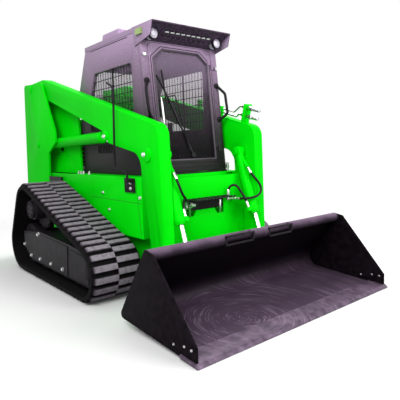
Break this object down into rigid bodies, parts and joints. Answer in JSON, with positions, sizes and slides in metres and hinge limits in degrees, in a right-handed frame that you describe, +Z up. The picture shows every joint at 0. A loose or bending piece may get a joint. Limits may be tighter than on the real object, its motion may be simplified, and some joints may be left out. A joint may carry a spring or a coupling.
{
  "type": "compact track loader",
  "caption": "Compact track loader on triangular rubber tracks, with lift arms on rear towers, a tilting bucket, and a hollow cab with a hinged glass door.",
  "frame": {"origin": "on the floor, at the middle of the machine's length and width", "axes": "+Z up, -Y towards the bucket, -X the machine's right side"},
  "size_m": [2, 3.6624, 2.2826],
  "materials": {
    "green_paint": "gloss",
    "black_paint": "satin",
    "bucket_paint": "satin, worn",
    "track_rubber": "matt",
    "dark_iron": "matt",
    "frame_black": "satin",
    "rod_chrome": "polished",
    "window_glass": "clear",
    "seat_vinyl": "grained",
    "black_plastic": "moulded",
    "lamp_lens": "clear lens",
    "pack_metal": "cast",
    "edge_steel": "ground",
    "zinc_steel": "zinc plated",
    "hose_rubber": "braided"
  },
  "bodies": {
    "chassis": {"tub": "green_paint", "tie_downs": "green_paint", "side_covers": "green_paint", "towers": "green_paint", "power_pack": "pack_metal", "hood": "black_paint", "cab_sides": "black_paint", "cab_back": "black_paint", "cab_front": "black_paint", "cab_floor": "black_paint", "cab_roof": "black_paint", "roof_box": "black_paint", "window_guards": "black_paint", "cab_glass": "window_glass", "seat_base": "black_paint", "seat_cushion": "seat_vinyl", "seat_back": "seat_vinyl", "lap_bar": "black_paint", "consoles": "black_plastic", "grab_handles": "black_paint", "lamps": "lamp_lens", "stay_rod": "black_paint", "tracks": "track_rubber", "track_wheels": "dark_iron", "track_frames": "frame_black", "final_drives": "dark_iron"},
    "lift_arm": {"arm_right": "green_paint", "arm_left": "green_paint", "cross_panel": "green_paint", "step_tread": "black_paint", "panel_pipes": "zinc_steel", "coupler_bracket": "green_paint", "couplers": "zinc_steel", "hose_left_upper": "hose_rubber", "hose_left_lower": "hose_rubber", "hose_right_upper": "hose_rubber", "hose_right_lower": "hose_rubber"},
    "lift_barrel_right": {"lift_barrel_right": "green_paint"},
    "lift_rod_right": {"lift_rod_right": "rod_chrome"},
    "lift_barrel_left": {"lift_barrel_left": "green_paint"},
    "lift_rod_left": {"lift_rod_left": "rod_chrome"},
    "tilt_barrel_right": {"tilt_barrel_right": "green_paint"},
    "tilt_rod_right": {"tilt_rod_right": "rod_chrome"},
    "tilt_barrel_left": {"tilt_barrel_left": "green_paint"},
    "tilt_rod_left": {"tilt_rod_left": "rod_chrome"},
    "bucket": {"hitch": "bucket_paint", "bucket_shell": "bucket_paint", "bucket_sides": "bucket_paint", "cutting_edge": "edge_steel"},
    "cab_door": {"door_frame": "black_paint", "door_glass": "window_glass", "wiper": "black_plastic"},
    "tail_door": {"tail_door": "black_paint"}
  },
  "joints": [
    {"name": "lift", "type": "hinge", "parent": "chassis", "child": "lift_arm", "pos_m": [0, 1.53, 1.875], "axis": [-1, 0, 0], "range_deg": [0, 60]},
    {"name": "bucket_tilt", "type": "hinge", "parent": "lift_arm", "child": "bucket", "pos_m": [0, -0.88, 0.22], "axis": [1, 0, 0], "range_deg": [-28, 95]},
    {"name": "cab_door_swing", "type": "hinge", "parent": "chassis", "child": "cab_door", "pos_m": [0.3325, -0.54313, 1.50112], "axis": [0, 0.1021, 0.9948], "range_deg": [0, 70]},
    {"name": "tail_door_swing", "type": "hinge", "parent": "chassis", "child": "tail_door", "pos_m": [0.408, 1.756, 1], "axis": [0, 0, -1], "range_deg": [0, 85]},
    {"name": "lift_barrel_right_swing", "type": "hinge", "parent": "chassis", "child": "lift_barrel_right", "pos_m": [-0.498, 1.4, 1.262], "axis": [-1, 0, 0], "range_deg": [-1, 56.4]},
    {"name": "lift_rod_right_slide", "type": "slide", "parent": "lift_barrel_right", "child": "lift_rod_right", "axis": [0, -0.9998, 0.0212], "range_m": [-0.005, 0.612]},
    {"name": "tilt_barrel_right_swing", "type": "hinge", "parent": "lift_arm", "child": "tilt_barrel_right", "pos_m": [-0.4, -0.748, 1.128], "axis": [1, 0, 0], "range_deg": [-2.3, 5.3]},
    {"name": "tilt_rod_right_slide", "type": "slide", "parent": "tilt_barrel_right", "child": "tilt_rod_right", "axis": [0, -0.3302, -0.9439], "range_m": [-0.098, 0.308]},
    {"name": "lift_barrel_left_swing", "type": "hinge", "parent": "chassis", "child": "lift_barrel_left", "pos_m": [0.498, 1.4, 1.262], "axis": [-1, 0, 0], "range_deg": [-1, 56.4]},
    {"name": "lift_rod_left_slide", "type": "slide", "parent": "lift_barrel_left", "child": "lift_rod_left", "axis": [0, -0.9998, 0.0212], "range_m": [-0.005, 0.612]},
    {"name": "tilt_barrel_left_swing", "type": "hinge", "parent": "lift_arm", "child": "tilt_barrel_left", "pos_m": [0.4, -0.748, 1.128], "axis": [1, 0, 0], "range_deg": [-2.3, 5.3]},
    {"name": "tilt_rod_left_slide", "type": "slide", "parent": "tilt_barrel_left", "child": "tilt_rod_left", "axis": [0, -0.3302, -0.9439], "range_m": [-0.098, 0.308]}
  ],
  "couplings": [
    {"joint": "lift_barrel_right_swing", "follows": "lift", "ratio": 0.90644},
    {"joint": "lift_rod_right_slide", "follows": "lift", "m_per_rad": 0.57463},
    {"joint": "tilt_barrel_right_swing", "follows": "bucket_tilt", "ratio": 0.04475},
    {"joint": "tilt_rod_right_slide", "follows": "bucket_tilt", "m_per_rad": 0.17943},
    {"joint": "lift_barrel_left_swing", "follows": "lift", "ratio": 0.90644},
    {"joint": "lift_rod_left_slide", "follows": "lift", "m_per_rad": 0.57463},
    {"joint": "tilt_barrel_left_swing", "follows": "bucket_tilt", "ratio": 0.04475},
    {"joint": "tilt_rod_left_slide", "follows": "bucket_tilt", "m_per_rad": 0.17943}
  ]
}
